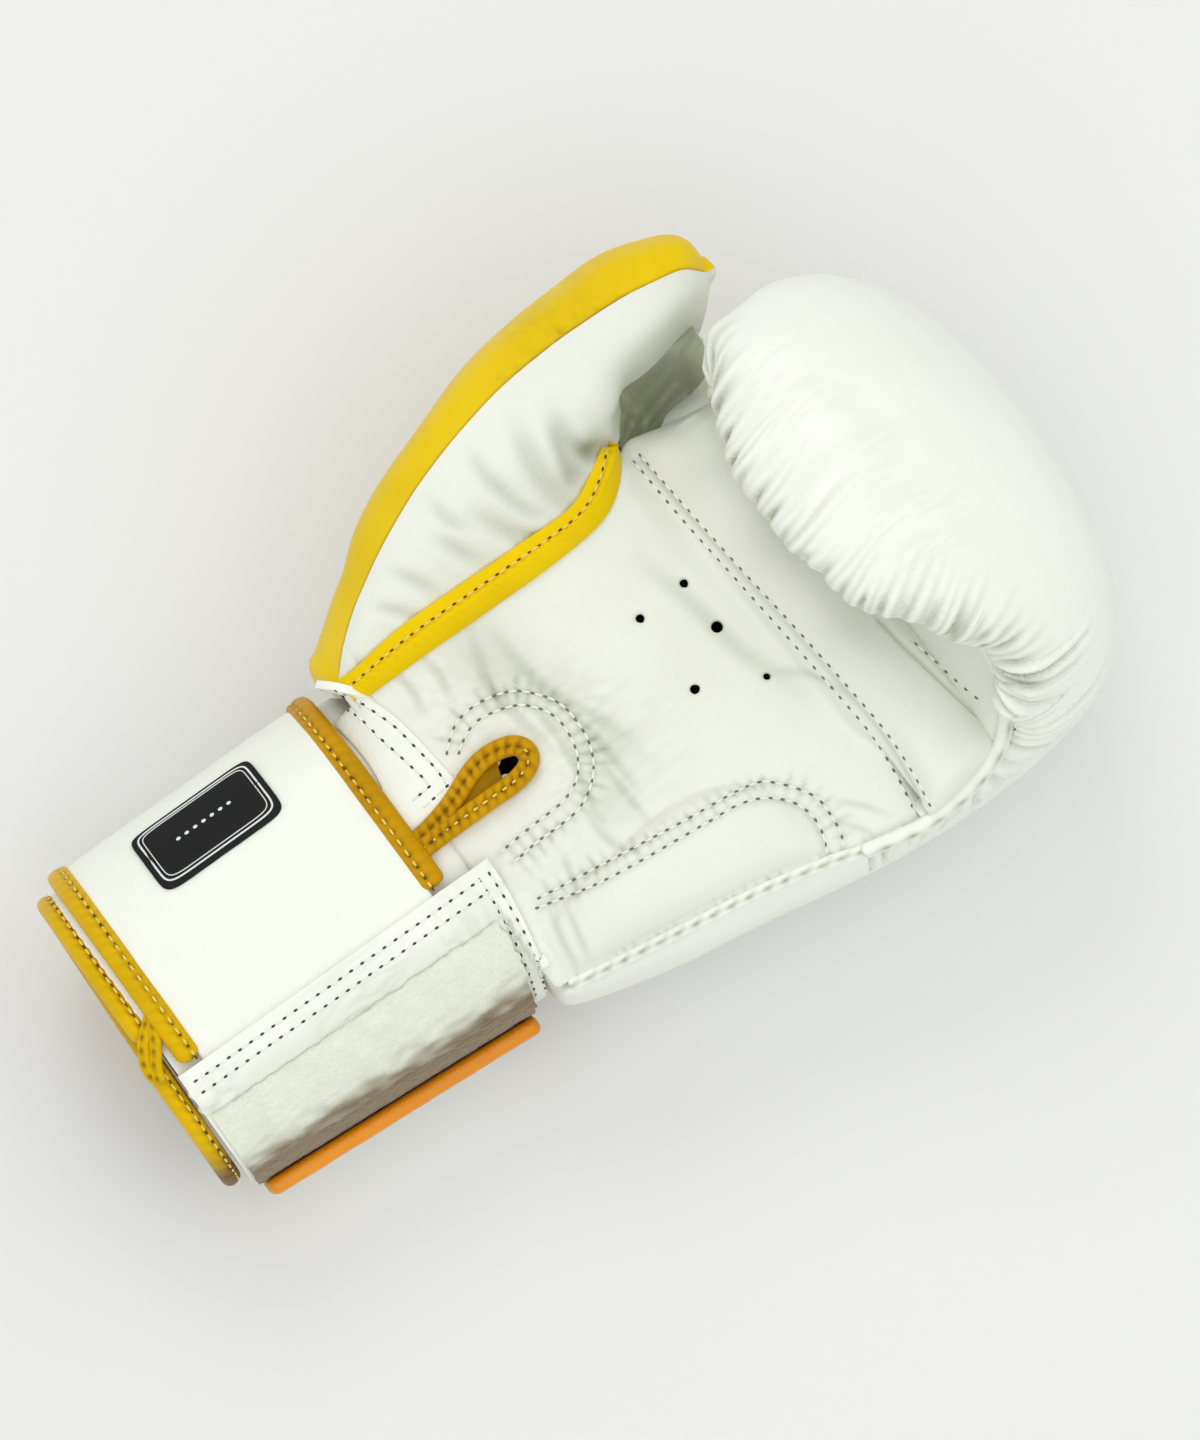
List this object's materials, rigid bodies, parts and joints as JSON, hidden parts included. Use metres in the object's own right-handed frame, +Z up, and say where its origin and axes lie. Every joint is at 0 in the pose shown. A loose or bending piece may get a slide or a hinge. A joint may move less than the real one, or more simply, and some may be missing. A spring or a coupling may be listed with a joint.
{
  "type": "boxing glove",
  "caption": "White leather boxing glove for the left hand with yellow thumb, gold bindings and a closed wrist strap, lying palm up.",
  "frame": {"origin": "under the middle of the whole glove, on the surface that it lies on", "axes": "+Y from the cuff to the knuckles, +X towards the little finger's side, +Z up, out of the palm"},
  "size_m": [0.1776, 0.2934, 0.1364],
  "materials": {
    "white_leather": "smooth semi-gloss white leather with fine grain",
    "yellow_leather": "smooth semi-gloss yellow leather with fine grain",
    "gold_leather": "rolled golden leather binding, one row of stitches",
    "loop_fleece": "matt brushed loop fabric",
    "black_patch": "smooth black patch with a thin white border"
  },
  "bodies": {
    "root": {"mitt_shell": "white_leather", "palm_panel": "white_leather", "heel_pad": "white_leather", "grip_bar": "white_leather", "finger_panel": "white_leather", "thumb_outer": "yellow_leather", "thumb_inner": "white_leather", "thumb_binding": "yellow_leather", "thumb_web": "white_leather", "cuff": "white_leather", "rim_binding": "gold_leather", "slit_binding": "gold_leather", "strap": "white_leather", "strap_binding_hand": "gold_leather", "strap_binding_wrist": "gold_leather", "strap_binding_end": "gold_leather", "closure_flap": "white_leather", "loop_patch": "loop_fleece", "label_patch": "black_patch"}
  },
  "joints": []
}
